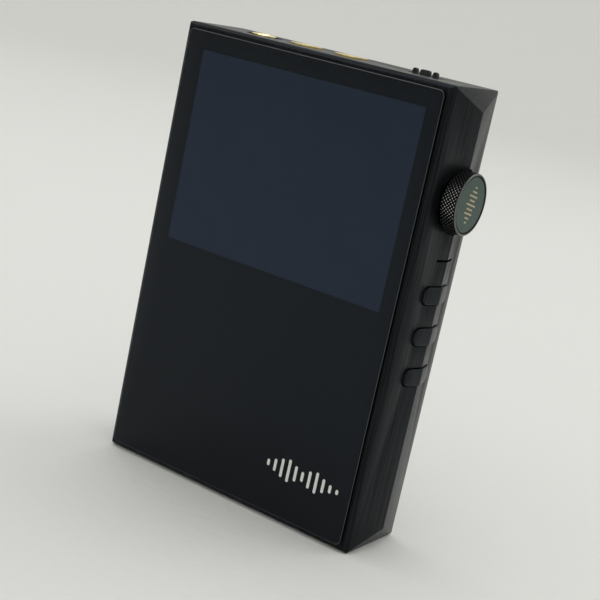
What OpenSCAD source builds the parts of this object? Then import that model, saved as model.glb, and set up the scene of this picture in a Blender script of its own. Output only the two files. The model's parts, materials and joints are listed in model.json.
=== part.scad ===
// Pocket digital audio player in a machined aluminium case, standing on its bottom face.
// The display looks to the front (-Y). The volume knob and the keys are on the right (+X),
// where the side folds outwards to a ridge. The origin is the middle of the bottom face.

/* [Case] */
// Width of the case between its side edges
case_w = 73; // [68:0.2:90]
// Height of the case
case_h = 108.4; // [104:0.2:132]
// Depth of the case from its front rim to its back face
case_d = 21.3; // [20.9:0.1:27]
// Thickness of the side walls
side_wall = 2.7; // [2.3:0.1:3.2]
// Thickness of the top and bottom walls
end_wall = 2.6; // [2.2:0.1:3.2]
// How far the ridge of the right side stands out
ridge_out = 2.65; // [2.2:0.05:3.2]
// How far the right side stands out at the back edge
back_flare = 0.2; // [0:0.1:0.8]
// Distance of the ridge behind the middle of the depth
ridge_y = 0.6; // [-1:0.1:2]
// Length of the sloping facet at each end of the ridge
hip_h = 4.9; // [3:0.1:8]
// Radius of the left corners in the front view
corner_r = 1.2; // [0.6:0.1:2.4]
// Width of the bevel round the front rim
rim_bevel = 0.8; // [0.3:0.1:1]
// Width of the bevel round the back edge
back_bevel = 0.5; // [0.2:0.1:1]
// Width of the square posts that carry the inner plates
post_w = 5.6; // [4.6:0.1:6.2]
// Distance of the upper posts' centres below the top
post_drop = 13.6; // [13:0.1:15]

/* [Front glass and display] */
// Distance of the glass from the outline of the case
glass_inset = 1.5; // [1.3:0.1:2]
// Width of the dark gap round the glass
glass_gap = 0.35; // [0.2:0.05:0.5]
// Height of the glass above the front rim
glass_proud = 0.7; // [0.3:0.1:1]
// Thickness of the front glass
glass_t = 1; // [0.7:0.1:1.4]
// Radius of the corners of the glass
glass_corner_r = 1.4; // [0.8:0.1:3]
// Width of the polished bevel round the glass
glass_bevel = 0.2; // [0.1:0.05:0.4]
// Thickness of the adhesive films
film_t = 0.1; // [0.05:0.05:0.2]
// Width of the picture area
picture_w = 61; // [44:0.5:61.5]
// Height of the picture area
picture_h = 45.75; // [33:0.25:46]
// Distance of the picture area below the top of the case
picture_drop = 5.95; // [5.6:0.05:9]
// Border of the display panel round its picture area
panel_border = 1.6; // [1:0.1:2]
// Thickness of the display panel
panel_t = 1.2; // [0.8:0.1:1.4]
// Thickness of the backlight
backlight_t = 1.3; // [0.9:0.1:1.5]
// Thickness of the steel tray behind the display
tray_t = 0.3; // [0.2:0.05:0.4]

/* [Volume knob] */
// Diameter of the knob
knob_d = 14.15; // [12.6:0.05:18]
// Height of the knob above its pocket
knob_h = 4; // [3.6:0.1:5.5]
// Distance of the knob's axis below the top of the case
knob_drop = 24.9; // [23:0.1:28]
// Depth of the knob's pocket below the ridge
pocket_depth = 1.95; // [1.4:0.05:2.2]
// Gap round the knob in its pocket
pocket_gap = 0.5; // [0.3:0.05:0.9]
// Width of the smooth lip round the knob's face
lip_w = 0.6; // [0.4:0.05:1]
// Width of the groove between the lip and the inlay
inlay_gap = 0.3; // [0.05:0.05:0.5]
// Diameter of the shaft
shaft_d = 6; // [5:0.1:6.2]
// Running clearance round the shaft
shaft_play = 0.05; // [0.02:0.01:0.08]
// Diameter of the threaded bush
bush_d = 7; // [6.8:0.1:7.6]
// Width of the encoder across the case
encoder_w = 11; // [9:0.5:12]

/* [Keys] */
// Length of a key round the ridge
key_l = 10.5; // [8:0.1:13]
// Height of a key
key_h = 4.1; // [3.2:0.1:5]
// Corner radius of a key
key_r = 1.5; // [0.8:0.1:1.6]
// Height of a key above the side of the case
key_raise = 0.4; // [0.2:0.05:0.6]
// Distance between the keys' centres
key_pitch = 9.65; // [9.4:0.05:11.8]
// Distance of the first key's centre below the top
key_drop = 46.5; // [46:0.1:50]
// Gap round a key
key_gap = 0.25; // [0.15:0.05:0.4]
// Travel of a key
key_travel = 0.35; // [0.2:0.05:0.4]
// Length of the status light round the ridge
light_l = 7; // [4:0.1:9]
// Height of the status light's slit
light_h = 0.45; // [0.3:0.05:1]
// Distance of the status light above the first key's centre
light_rise = 8.1; // [7:0.1:9]

/* [Top] */
// Distance of the first jack's centre from the left side
jack_x = 15.2; // [14:0.1:16]
// Distance between the jacks' centres
jack_pitch = 12.5; // [11.8:0.1:13.2]
// Diameter of the ring of the wide jack
wide_ring_d = 8.6; // [8:0.1:9.6]
// Diameter of the rings of the two narrow jacks
narrow_ring_d = 7.9; // [7.2:0.1:9.4]
// Diameter of the wide jack's hole
wide_hole_d = 4.5; // [4.4:0.05:4.8]
// Diameter of the narrow jacks' holes
narrow_hole_d = 3.6; // [3.5:0.05:3.8]
// Distance of the slide switch's centre from the right side edge
slide_x = 13; // [12.6:0.1:13.4]
// Length of the slide switch's slot
slide_slot_l = 8.8; // [8:0.1:9.4]
// Width of the slide switch's slot
slide_slot_w = 2.4; // [2:0.1:3]
// Travel of the slide switch to each side
slide_travel = 1; // [0.6:0.1:1.1]
// Height of the slide switch's ribs above the top
slide_proud = 1.2; // [0.6:0.1:1.6]
// Width of the slide switch's ribs across the slot
slide_rib_w = 1.1; // [0.8:0.1:1.4]
// How far the jacks' rings stand above the top
ring_proud = 0.35; // [0:0.05:0.5]
// Depth of the moat round the collar of the wide jack's ring
ring_drop = 0.6; // [0.1:0.1:0.8]
// Width of the collar round the wide jack's hole
collar_w = 0.75; // [0.6:0.05:1.2]

/* [Inside and back] */
// Thickness of the circuit boards
board_t = 1; // [0.8:0.1:1.2]
// Thickness of the middle plate
plate_t = 0.8; // [0.7:0.1:1]
// Height of the main board's stand-offs
standoff_h = 1.6; // [1.4:0.1:2]
// Thickness of the back panel
back_t = 0.8; // [0.6:0.1:1]
// Gap round the back panel
back_gap = 0.15; // [0.1:0.05:0.3]
// Thickness of the rear plate
rear_plate_t = 0.8; // [0.7:0.1:1]
// Thickness of the foam behind the battery
foam_t = 1.5; // [0.8:0.1:2]
// Distance of the battery above the bottom
battery_rise = 26; // [25:0.5:30]
// Distance of the battery below the top
battery_drop = 36.4; // [36:0.2:42]
// Distance of the charging socket to the left of the middle
usb_x = 12; // [10:0.5:15]
// Distance of the card slot to the right of the middle
card_x = 10; // [9:0.5:12]

/* [Hidden] */
$fn = 64;

// Small clearance between fixed pieces, the over-length of a cut, and the films' set-back
fit = 0.05;
over = 1;
film_edge = 0.3;

// Case planes
half_w = case_w / 2;
y_back = (case_d + glass_proud) / 2;
y_rim = y_back - case_d;
y_glass = y_rim - glass_proud;
ridge_x = half_w + ridge_out;
in_x = half_w - side_wall;
in_z0 = end_wall;
in_z1 = case_h - end_wall;

// Layers behind the front glass, front to back
y_film = y_glass + glass_t;
y_panel = y_film + film_t;
y_backlight = y_panel + panel_t;
y_tray = y_backlight + backlight_t;
tray_clear = 0.2;
y_plate = y_tray + tray_t + tray_clear;
y_post = y_plate + plate_t;
y_board = y_post + standoff_h;
y_board_back = y_board + board_t;

// Layers in front of the back face
y_back_panel = y_back - back_t;
y_back_film = y_back_panel - film_t;
y_rear_plate = y_back_film - rear_plate_t;
plate_clear = 0.2;

// Posts and their screws
post_z = [in_z0 + post_w / 2, case_h - post_drop];
post_x = in_x - post_w / 2;
screw_r = 0.8;
tap_r = screw_r + fit;
tap_depth = 4;
head_r = 1.5;
head_h = 0.5;
screw_l = 3.5;

// Display
picture_z = case_h - picture_drop - picture_h / 2;
panel_w = picture_w + 2 * panel_border;
panel_h = picture_h + 2 * panel_border;
flex_w = 16;
flex_t = 0.2;
flex_drop = 9.5;
flex_z = picture_z - panel_h / 2 - flex_drop;
flex_slot_h = 1.6;
connector_h = 1;

// Boards: x from and to, z from and to
board_clear = 0.7;
board_x0 = -(in_x - post_w - board_clear);
board_right = 15.5;
board_x1 = half_w - board_right;
board_z0 = in_z0 + board_clear;
board_z1 = in_z1 - board_clear;
audio_front = 4.6;
audio_h = 31.2;
audio_z0 = board_z1 - audio_h;
audio_wing_h = 10;
screw_inset = 3;
board_screws = [
    [board_x0 + screw_inset, board_z0 + 18], [board_x1 - screw_inset, board_z0 + 18],
    [board_x0 + 17, board_z1 - 16.6], [board_x1 - screw_inset, board_z1 - 14]
];
spacers = [
    [board_x0 + screw_inset, audio_z0 + screw_inset],
    [board_x1 - screw_inset, audio_z0 + screw_inset],
    [board_x0 + screw_inset, audio_z0 + 14], [board_x1 - 8, board_z1 - 3.6]
];
spacer_r = 2;
standoff_r = 1.7;
board_screw_l = 2;

// Volume knob, along X
knob_z = case_h - knob_drop;
knob_r = knob_d / 2;
pocket_x = ridge_x - pocket_depth;
knob_lift = 0.3;
knob_x = pocket_x + knob_lift;
knob_top = knob_x + knob_h;
inlay_depth = 0.5;
inlay_t = 0.4;
web_t = 1.5;
shaft_r = shaft_d / 2;
bush_r = bush_d / 2;
nut_h = 1.4;
nut_r = bush_r + 1.6;
hollow_r = nut_r + 0.4;
washer_r = nut_r - 0.2;
encoder_gap = 3.5;
encoder_l = 8.3;
encoder_x1 = in_x - encoder_gap;
encoder_x0 = encoder_x1 - encoder_l;
knob_edge = 0.3;
bore_play = 0.02;
encoder_h = 12;

// Keys, along X
key_z = [for (i = [0:2]) case_h - key_drop - i * key_pitch];
flange_t = 0.8;
flange_lip = 0.8;
flange_gap = 0.15;
flange_x = in_x - flange_gap - flange_t;
key_board_drop = 4.8;
key_board_x = in_x - key_board_drop;
switch_t = 1.6;
key_switch_w = 4.2;
key_switch_h = 3.2;
plunger_t = 0.4;
plunger_r = 0.8;
plunger_x = key_board_x + board_t + switch_t + plunger_t;
stem_r = 1;
stem_x = plunger_x + key_travel + 0.1;
key_post_z = [for (i = [0:1]) key_z[i] - key_pitch / 2];
key_post_r = 1.3;
key_screw_r = 0.55;
key_board_w = 7;
key_board_z0 = key_z[2] - 5;
light_z = key_z[0] + light_rise;
key_board_z1 = light_z + 2;

// Top
jack_at = [for (i = [0:2]) -half_w + jack_x + i * jack_pitch];
ring_h = 2;
ring_sink = [ring_drop, -ring_proud, -ring_proud];
ring_land = 0.4;
dish_w = 0.7;
dish_drop = 0.25;
dish_depth = 0.8;
collar_h = ring_drop + ring_proud;
collar_edge = 0.2;
jack_depth = 13.5;
jack_w = 8.6;
jack_front = 3.4;
nose_r = 3;
hole_depth = 12.5;
slide_at = half_w - slide_x;
slide_cap_l = slide_slot_l - 2 * slide_travel - 0.5;
slide_cap_w = slide_slot_w - 0.5;
slide_flange_l = slide_slot_l + 2 * slide_travel + 0.6;
slide_flange_w = slide_slot_w + 1.2;
slide_flange_t = 0.6;
slide_clear = 0.2;
slide_z = in_z1 - slide_clear - slide_flange_t;
rib_r = 0.55;
slide_block_l = 2.4;
slide_block_r = 0.5;
slide_block_sink = 0.4;
lever_w = 1.4;
lever_h = 2.2;
switch_h = 5.6;
switch_l = 8.4;
switch_z1 = slide_z - 0.6;

// Sockets in the bottom
usb_w = 9;
usb_h = 3.2;
usb_wall = 0.3;
usb_sink = 0.6;
usb_depth = 7.4;
usb_end = 0.8;
tongue = [6.7, 0.7, 4.8];
usb_y = y_board_back + usb_h / 2;
card_w = 11.2;
card_h = 0.9;
card_wall = 0.3;
card_depth = 14;
card_y = y_board_back + card_wall + card_h / 2;

// Battery, between the main board and the rear plate
battery_z0 = battery_rise;
battery_z1 = case_h - battery_drop;
battery_y = y_board_back + 0.3;
battery_t = y_rear_plate - foam_t - battery_y;
battery_x0 = board_x0 - 4;
battery_x1 = in_x - 7.8;

// Where the right side lies at depth y
function side_x(y) = y < ridge_y
    ? half_w + ridge_out * (y - y_rim) / (ridge_y - y_rim)
    : half_w + back_flare + (ridge_out - back_flare) * (y_back - y) / (y_back - ridge_y);

// A plate in the X-Z plane, from y0 to y1
module along_y(y0, y1) translate([0, y1, 0]) rotate([90, 0, 0]) linear_extrude(y1 - y0) children();

// A plate in the Y-Z plane, from x0 to x1
module along_x(x0, x1) translate([x0, 0, 0]) rotate([90, 0, 90]) linear_extrude(x1 - x0) children();

module rod_y(x, z, y0, y1, r) translate([x, y1, z]) rotate([90, 0, 0]) cylinder(h = y1 - y0, r = r);

module rod_x(y, z, x0, x1, r) translate([x0, y, z]) rotate([0, 90, 0]) cylinder(h = x1 - x0, r = r);

module block(low, high) translate(low) cube(high - low);

// A rectangle with round corners, centred
module rounded(w, h, r) {
    square([w - 2 * r, h], center = true);
    square([w, h - 2 * r], center = true);
    for (x = [-1, 1], y = [-1, 1]) translate([x * (w / 2 - r), y * (h / 2 - r)]) circle(r);
}

// The outline of the glass and the pockets round it, grown by g
module glass_outline(g) translate([0, case_h / 2])
    rounded(case_w - 2 * glass_inset + 2 * g, case_h - 2 * glass_inset + 2 * g,
        glass_corner_r + g);

// A frame of width w just inside the edge of a panel, where the film holds it
module film_frame(w) difference() {
    glass_outline(-film_edge);
    translate([0, case_h / 2]) square([
        case_w - 2 * (glass_inset + film_edge + w), case_h - 2 * (glass_inset + film_edge + w)
    ], center = true);
}

// The right side's outline between y0 and y1, raised by rise, from x inwards
module side_outline(x, y0, y1, rise) polygon([
    [x, y0], [side_x(y0) + rise, y0], [ridge_x + rise, ridge_y], [side_x(y1) + rise, y1], [x, y1]
]);

// A screw along Y: the head's seat at y, the head towards dir
module screw_y(x, z, y, dir, r, hr, hh, l) {
    rod_y(x, z, min(y, y + dir * hh), max(y, y + dir * hh), hr);
    rod_y(x, z, min(y, y - dir * l), max(y, y - dir * l), r);
}

// The case before anything is cut from it: a plan, a front view and a side view, intersected
module case_blank() intersection() {
    linear_extrude(case_h) polygon([
        [-half_w + rim_bevel, y_rim], [half_w - rim_bevel, y_rim],
        [side_x(y_rim + rim_bevel), y_rim + rim_bevel], [ridge_x, ridge_y],
        [side_x(y_back - back_bevel), y_back - back_bevel], [half_w - back_bevel, y_back],
        [-half_w + back_bevel, y_back], [-half_w, y_back - back_bevel],
        [-half_w, y_rim + rim_bevel]
    ]);
    along_y(y_rim, y_back) {
        translate([0, case_h / 2]) rounded(case_w, case_h, corner_r);
        polygon([
            [0, 0], [half_w, 0], [ridge_x, hip_h], [ridge_x, case_h - hip_h],
            [half_w, case_h], [0, case_h]
        ]);
    }
    along_x(-half_w, ridge_x) polygon([
        [y_rim + rim_bevel, 0], [y_back - back_bevel, 0], [y_back, back_bevel],
        [y_back, case_h - back_bevel], [y_back - back_bevel, case_h],
        [y_rim + rim_bevel, case_h], [y_rim, case_h - rim_bevel], [y_rim, rim_bevel]
    ]);
}

// The space inside the case, around the posts
module case_cavity() difference() {
    block([-in_x, y_panel - over, in_z0], [in_x, y_back_film + over, in_z1]);
    for (x = [-1, 1], z = post_z) translate([x * post_x, (y_post + y_rear_plate) / 2, z])
        cube([post_w + fit, y_rear_plate - y_post, post_w + fit], center = true);
    for (z = key_post_z)
        rod_x(ridge_y, z, key_board_x + board_t, in_x + over, key_post_r);
}

module key_prism(i, g, x0, x1) along_x(x0, x1)
    translate([ridge_y, key_z[i]]) rounded(key_l + 2 * g, key_h + 2 * g, key_r + g);

module case_body() color("#3b3f42") difference() {
    case_blank();
    case_cavity();
    along_y(y_rim - over, y_panel) glass_outline(glass_gap);
    along_y(y_back_film, y_back + over) glass_outline(back_gap);
    // screw holes in the posts, front and back
    for (x = [-1, 1], z = post_z) {
        rod_y(x * post_x, z, y_post - over, y_post + tap_depth, tap_r);
        rod_y(x * post_x, z, y_rear_plate - tap_depth, y_rear_plate + over, tap_r);
    }
    for (z = key_post_z) rod_x(ridge_y, z, key_board_x, in_x - fit, key_screw_r + fit);
    // knob pocket and bush hole
    rod_x(ridge_y, knob_z, pocket_x, ridge_x + over, knob_r + pocket_gap);
    rod_x(ridge_y, knob_z, in_x - over, ridge_x + over, bush_r + 2 * fit);
    // key holes and light slit
    for (i = [0:2]) key_prism(i, key_gap, in_x - over, ridge_x + over);
    along_x(in_x - over, ridge_x + over)
        translate([ridge_y, light_z]) square([light_l + 2 * fit, light_h + 2 * fit], center = true);
    // jack rings and slide switch in the top
    for (i = [0:2]) translate([jack_at[i], 0, in_z1 - over])
        cylinder(h = end_wall + 2 * over, r = ring_r(i) + fit);
    translate([slide_at, 0, in_z1 - over]) linear_extrude(end_wall + 2 * over)
        rounded(slide_slot_l, slide_slot_w, slide_slot_w / 4);
    // charging socket and card slot in the bottom
    translate([-usb_x, usb_y, -over]) linear_extrude(end_wall + 2 * over)
        rounded(usb_w + 6 * fit, usb_h + 6 * fit, usb_h / 2);
    translate([card_x, card_y, -over]) linear_extrude(end_wall + 2 * over)
        rounded(card_w + 8 * fit, card_h + 6 * fit, card_h / 4);
}

module front_glass() color("#171b21") intersection() {
    along_y(y_glass, y_film) glass_outline(0);
    linear_extrude(case_h) glass_plan(half_w - glass_inset);
    along_x(-half_w, half_w) translate([0, case_h / 2]) rotate(90)
        glass_plan_yz(case_h / 2 - glass_inset);
}

// The bevelled section of the glass in plan, half as wide as h
module glass_plan(h) polygon([
    [-h + glass_bevel, y_glass], [h - glass_bevel, y_glass], [h, y_glass + glass_bevel],
    [h, y_film], [-h, y_film], [-h, y_glass + glass_bevel]
]);

// The same section, turned to lie across the glass's height
module glass_plan_yz(h) mirror([0, 1]) glass_plan(h);

module glass_gasket() color("#0c0d0f") along_y(y_rim + 0.15, y_panel) difference() {
    glass_outline(glass_gap - fit);
    glass_outline(fit);
}

module glass_adhesive() color("#26282b") along_y(y_film, y_panel) film_frame(0.9);

module display_layer(y0, y1, g) along_y(y0, y1)
    translate([0, picture_z]) square([panel_w + 2 * g, panel_h + 2 * g], center = true);

module display_panel() color("#262e39") display_layer(y_panel, y_backlight, 0);

module backlight() color("#e6e8e6") display_layer(y_backlight, y_tray, -0.4);

module display_tray() color("#9a9da0") display_layer(y_tray, y_tray + tray_t, 0);

// The flat cable from the display, down and back through the middle plate
module display_flex() color("#b07a2c") {
    top = picture_z - panel_h / 2;
    block([-flex_w / 2, y_tray, flex_z], [flex_w / 2, y_tray + flex_t, top]);
    block([-flex_w / 2, y_tray + flex_t, flex_z],
        [flex_w / 2, y_board - connector_h, flex_z + flex_t]);
}

module flex_connector() color("#2a2522") translate([0, y_board - connector_h / 2, flex_z])
    cube([flex_w + 2, connector_h, 3], center = true);

module front_foam() color("#3a3a3c")
    block([-in_x + 3, y_panel, in_z0 + 3], [in_x - 3, y_plate - fit, flex_z - 3]);

module plate_outline() translate([0, (in_z0 + in_z1) / 2])
    square([2 * (in_x - plate_clear), in_z1 - in_z0 - 2 * plate_clear], center = true);

module middle_plate() color("#a9acae") difference() {
    union() {
        along_y(y_plate, y_post) plate_outline();
        for (p = board_screws) rod_y(p[0], p[1], y_post, y_board, standoff_r);
    }
    for (p = board_screws) rod_y(p[0], p[1], y_plate - over, y_board + over, tap_r);
    for (x = [-1, 1], z = post_z) {
        rod_y(x * post_x, z, y_plate - over, y_post + over, tap_r);
        rod_y(x * post_x, z, y_plate - over, y_plate + head_h, head_r + fit);
    }
    block([-flex_w / 2 - 1, y_plate - over, flex_z - flex_slot_h / 2],
        [flex_w / 2 + 1, y_post + over, flex_z + flex_slot_h / 2]);
}

module middle_plate_screws() color("#8d8f92") for (x = [-1, 1], z = post_z)
    screw_y(x * post_x, z, y_plate + head_h, -1, screw_r, head_r, head_h, screw_l);

module main_board() color("#1d4d36") difference() {
    block([board_x0, y_board, board_z0], [board_x1, y_board_back, board_z1]);
    for (p = board_screws) rod_y(p[0], p[1], y_board - over, y_board_back + over, tap_r);
    for (p = spacers) rod_y(p[0], p[1], y_board - over, y_board_back + over, tap_r);
}

module main_board_screws() color("#8d8f92") for (p = board_screws)
    screw_y(p[0], p[1], y_board_back, 1, screw_r, head_r, head_h, board_screw_l);

// A pressed can over the parts on a board, open towards the board
module can(x0, x1, z0, z1, y_seat, y_top) {
    wall = 0.25;
    low = min(y_seat, y_top);
    high = max(y_seat, y_top);
    difference() {
        block([x0, low, z0], [x1, high, z1]);
        block([x0 + wall, y_seat < y_top ? low - over : low + wall, z0 + wall],
            [x1 - wall, y_seat < y_top ? high - wall : high + over, z1 - wall]);
    }
}

module processor_shield() color("#b9bbbd")
    can(board_x0 + 6, board_x1 - 6, flex_z + 6, audio_z0 + 6, y_board, y_board - standoff_h + 0.2);

module memory_shield() color("#b9bbbd")
    can(board_x0 + 6, board_x1 - 6, board_z0 + 22, flex_z - 4, y_board, y_board - standoff_h + 0.2);

module usb_shell() color("#a3a6a8") translate([-usb_x, usb_y, usb_sink]) difference() {
    linear_extrude(usb_depth) rounded(usb_w, usb_h, usb_h / 2 - fit);
    translate([0, 0, -over]) linear_extrude(usb_depth - usb_end + over)
        rounded(usb_w - 2 * usb_wall, usb_h - 2 * usb_wall, usb_h / 2 - usb_wall - fit);
}

module usb_tongue() color("#222326")
    translate([-usb_x, usb_y, usb_sink + usb_depth - usb_end - tongue[2] / 2])
        cube(tongue, center = true);

module card_socket() color("#8f9295") difference() {
    block([card_x - card_w / 2 - 2 * card_wall, y_board_back, in_z0 + fit],
        [card_x + card_w / 2 + 2 * card_wall, y_board_back + card_h + 2 * card_wall,
        in_z0 + card_depth]);
    block([card_x - card_w / 2, card_y - card_h / 2, in_z0 - over],
        [card_x + card_w / 2, card_y + card_h / 2, in_z0 + card_depth - 1]);
}

module battery() color("#5f6a73")
    block([battery_x0, battery_y, battery_z0], [battery_x1, battery_y + battery_t, battery_z1]);

module battery_board() color("#7a5a1e") block([battery_x0 + 8, battery_y + 1, battery_z0 - 3],
    [battery_x0 + 30, battery_y + 2, battery_z0]);

module battery_foam() color("#45474a") block([battery_x0 + 4, y_rear_plate - foam_t, battery_z0 + 4],
    [battery_x1 - 4, y_rear_plate, battery_z1 - 4]);

module board_spacers() color("#b99a4a") for (p = spacers) difference() {
    rod_y(p[0], p[1], y_board_back, audio_front, spacer_r);
    rod_y(p[0], p[1], y_board_back - over, audio_front + over, tap_r);
}

module audio_board() color("#1b3f5a") difference() {
    union() {
        block([board_x0, audio_front, audio_z0], [board_x1, audio_front + board_t, board_z1]);
        block([board_x1 - over, audio_front, board_z1 - audio_wing_h],
            [in_x - post_w - board_clear, audio_front + board_t, board_z1]);
    }
    for (p = spacers) rod_y(p[0], p[1], audio_front - over, audio_front + board_t + over, tap_r);
}

module audio_board_screws() color("#8d8f92") for (p = spacers)
    screw_y(p[0], p[1], audio_front + board_t, 1, screw_r, head_r, head_h, screw_l);

module converter_shield() color("#b9bbbd") can(board_x0 + 6, board_x1 - 11.5, audio_z0 + 5,
    board_z1 - 4, audio_front + board_t, audio_front + board_t + 2);

module capacitors() color("#7f5fa0") for (i = [0:4])
    rod_y(board_x0 + 10 + i * 6.6, audio_z0 + 7, audio_front - 5.4, audio_front, 2.6);

function ring_r(i) = (i == 0 ? wide_ring_d : narrow_ring_d) / 2;

function hole_r(i) = (i == 0 ? wide_hole_d : narrow_hole_d) / 2;

// A jack under the top wall, with a nose that reaches up to its ring
module jack(i) color("#232427") translate([jack_at[i], 0, 0]) difference() {
    union() {
        block([-jack_w / 2, -jack_front, in_z1 - jack_depth], [jack_w / 2, audio_front, in_z1 - 2 * fit]);
        translate([0, 0, in_z1 - over])
            cylinder(h = case_h - ring_sink[i] - ring_h - in_z1 + over, r = nose_r);
    }
    translate([0, 0, case_h - ring_sink[i] - ring_h - hole_depth])
        cylinder(h = hole_depth + over, r = hole_r(i));
}

// The section of a narrow ring, dished towards its hole
function dished_ring(i) = [
    [hole_r(i) + fit, 0], [ring_r(i), 0], [ring_r(i), ring_h], [ring_r(i) - ring_land, ring_h],
    [hole_r(i) + dish_w, ring_h - dish_drop], [hole_r(i) + fit, ring_h - dish_depth]
];

// The section of the sunken wide ring, with a collar that rises round its hole
function collared_ring(i) = [
    [hole_r(i) + fit, 0], [ring_r(i), 0], [ring_r(i), ring_h], [hole_r(i) + collar_w, ring_h],
    [hole_r(i) + collar_w, ring_h + collar_h - collar_edge],
    [hole_r(i) + collar_w - collar_edge, ring_h + collar_h],
    [hole_r(i) + fit + collar_edge, ring_h + collar_h],
    [hole_r(i) + fit, ring_h + collar_h - collar_edge]
];

module jack_ring(i) color("#d8a93c") translate([jack_at[i], 0, case_h - ring_sink[i] - ring_h])
    rotate_extrude() polygon(i == 0 ? collared_ring(i) : dished_ring(i));

module switch_body() color("#5d6064") difference() {
    block([slide_at - switch_l / 2, -slide_slot_w / 2 - 1, switch_z1 - switch_h],
        [slide_at + switch_l / 2, audio_front, switch_z1]);
    block([slide_at - lever_w / 2 - slide_travel - 0.2, -lever_w / 2 - 0.2, slide_z - lever_h - 0.2],
        [slide_at + lever_w / 2 + slide_travel + 0.2, lever_w / 2 + 0.2, switch_z1 + over]);
}

module slide_lever() color("#1f2022") block([slide_at - lever_w / 2, -lever_w / 2, slide_z - lever_h],
    [slide_at + lever_w / 2, lever_w / 2, slide_z]);

// The sliding button: a cover plate under the wall, a body in the slot, a block and two ribs
module slide_button() color("#a8a9a6") translate([slide_at, 0, 0]) {
    deck = case_h - 0.15;
    rib_x = slide_cap_l / 2 - rib_r;
    block([-slide_flange_l / 2, -slide_flange_w / 2, slide_z],
        [slide_flange_l / 2, slide_flange_w / 2, slide_z + slide_flange_t]);
    block([-slide_cap_l / 2, -slide_cap_w / 2, slide_z + slide_flange_t - fit],
        [slide_cap_l / 2, slide_cap_w / 2, deck]);
    for (x = [-rib_x, rib_x]) translate([x, slide_rib_w / 2, 0]) rotate([90, 0, 0])
        linear_extrude(slide_rib_w) {
            translate([0, case_h + slide_proud - rib_r]) circle(rib_r);
            translate([-rib_r, deck - fit]) square([2 * rib_r, case_h + slide_proud - rib_r - deck + fit]);
        }
    translate([0, slide_rib_w / 2, 0]) rotate([90, 0, 0]) linear_extrude(slide_rib_w)
        translate([0, (deck + case_h + slide_proud) / 2 - slide_block_sink / 2])
            rounded(slide_block_l, case_h + slide_proud - deck + slide_block_sink, slide_block_r);
}

module encoder_body() color("#6b6e72") difference() {
    block([encoder_x0, ridge_y - encoder_w / 2, knob_z - encoder_h / 2],
        [encoder_x1, ridge_y + encoder_w / 2, knob_z + encoder_h / 2]);
    rod_x(ridge_y, knob_z, encoder_x0 + 1, encoder_x1 + over, shaft_r + 0.3);
}

module encoder_bush() color("#b4b6b5") difference() {
    rod_x(ridge_y, knob_z, encoder_x1, pocket_x + 0.3 + nut_h + 0.1, bush_r);
    rod_x(ridge_y, knob_z, encoder_x1 - over, ridge_x + over, shaft_r + shaft_play);
}

module encoder_washer() color("#c2c4c4") difference() {
    rod_x(ridge_y, knob_z, pocket_x, pocket_x + 0.3, washer_r);
    rod_x(ridge_y, knob_z, pocket_x - over, pocket_x + over, bush_r + fit);
}

module encoder_nut() color("#c2c4c4") difference() {
    translate([pocket_x + 0.3, ridge_y, knob_z]) rotate([0, 90, 0]) cylinder(h = nut_h, r = nut_r, $fn = 6);
    rod_x(ridge_y, knob_z, pocket_x - over, ridge_x + over, bush_r + fit);
}

module encoder_shaft() color("#cfd0cf")
    rod_x(ridge_y, knob_z, encoder_x0 + 1.4, knob_top - inlay_depth - 0.1, shaft_r);

// The knob: a cap over the nut, with a smooth lip round the recess for its inlay
module volume_knob() color("#2b2c2e") translate([knob_x, ridge_y, knob_z]) rotate([0, 90, 0])
    rotate_extrude() polygon([
        [hollow_r, 0], [knob_r - knob_edge, 0], [knob_r, knob_edge], [knob_r, knob_h - knob_edge],
        [knob_r - knob_edge, knob_h], [knob_r - lip_w, knob_h],
        [knob_r - lip_w, knob_h - inlay_depth], [shaft_r + bore_play, knob_h - inlay_depth],
        [shaft_r + bore_play, knob_h - inlay_depth - web_t],
        [hollow_r, knob_h - inlay_depth - web_t]
    ]);

module knob_inlay() color("#4b5f57") rod_x(ridge_y, knob_z, knob_top - inlay_depth,
    knob_top - inlay_depth + inlay_t, knob_r - lip_w - inlay_gap);

module key_board() color("#1d4d36") difference() {
    block([key_board_x, ridge_y - key_board_w / 2, key_board_z0],
        [key_board_x + board_t, ridge_y + key_board_w / 2, key_board_z1]);
    for (z = key_post_z)
        rod_x(ridge_y, z, key_board_x - over, key_board_x + board_t + over, key_screw_r + fit);
}

module key_board_screws() color("#8d8f92") for (z = key_post_z) {
    rod_x(ridge_y, z, key_board_x - 0.6, key_board_x, 1.1);
    rod_x(ridge_y, z, key_board_x, key_board_x + board_t + 3, key_screw_r);
}

module key_switch(i) color("#c9cac8") {
    translate([key_board_x + board_t + switch_t / 2, ridge_y, key_z[i]])
        cube([switch_t, key_switch_w, key_switch_h], center = true);
    rod_x(ridge_y, key_z[i], key_board_x + board_t + switch_t, plunger_x, plunger_r);
}

// A key that follows both slopes of the side, with a flange behind the wall and a stem
module key(i) color("#45494c") {
    intersection() {
        translate([0, 0, key_z[i] - key_h / 2]) linear_extrude(key_h)
            side_outline(flange_x, ridge_y - key_l / 2, ridge_y + key_l / 2, key_raise);
        key_prism(i, 0, flange_x, ridge_x + over);
    }
    along_x(flange_x, flange_x + flange_t) translate([ridge_y, key_z[i]])
        rounded(key_l + 2 * flange_lip, key_h + 2 * flange_lip, key_r);
    rod_x(ridge_y, key_z[i], stem_x, flange_x, stem_r);
}

module status_led() color("#d9dcd2") translate([key_board_x + board_t + 0.4, ridge_y, light_z])
    cube([0.8, 1.6, 0.8], center = true);

module light_pipe() color("#15171a") translate([0, 0, light_z - light_h / 2]) linear_extrude(light_h)
    side_outline(key_board_x + board_t + 1, ridge_y - light_l / 2, ridge_y + light_l / 2, -0.05);

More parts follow.
